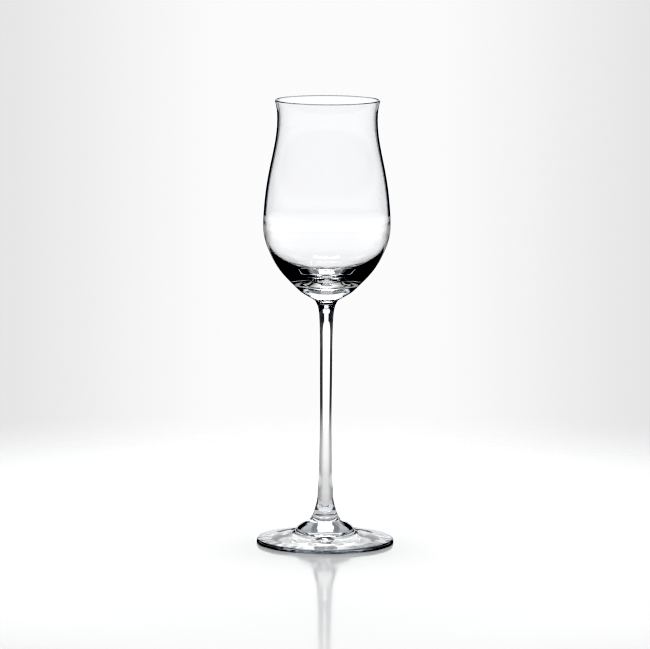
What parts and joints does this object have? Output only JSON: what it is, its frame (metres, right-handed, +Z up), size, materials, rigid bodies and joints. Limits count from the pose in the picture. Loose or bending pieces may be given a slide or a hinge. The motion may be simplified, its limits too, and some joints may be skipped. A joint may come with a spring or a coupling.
{
  "type": "grappa glass",
  "caption": "Tall clear stem glass for spirits: a tulip bowl with a flared lip and heavy base, a slim drawn stem flared at both ends, and a round foot with a raised centre.",
  "frame": {"origin": "middle of the foot's resting ring, on the surface the glass stands on", "axes": "+Z up along the glass's axis, from foot to rim; the glass is round, so +X and +Y are free"},
  "size_m": [0.0646, 0.0646, 0.21],
  "materials": {
    "bowl_glass": "clear blown glass, fire-polished",
    "stem_glass": "clear drawn glass, fire-polished",
    "foot_glass": "clear pressed-out glass, fire-polished edge"
  },
  "bodies": {
    "root": {"bowl": "bowl_glass", "stem": "stem_glass", "foot": "foot_glass"}
  },
  "joints": []
}
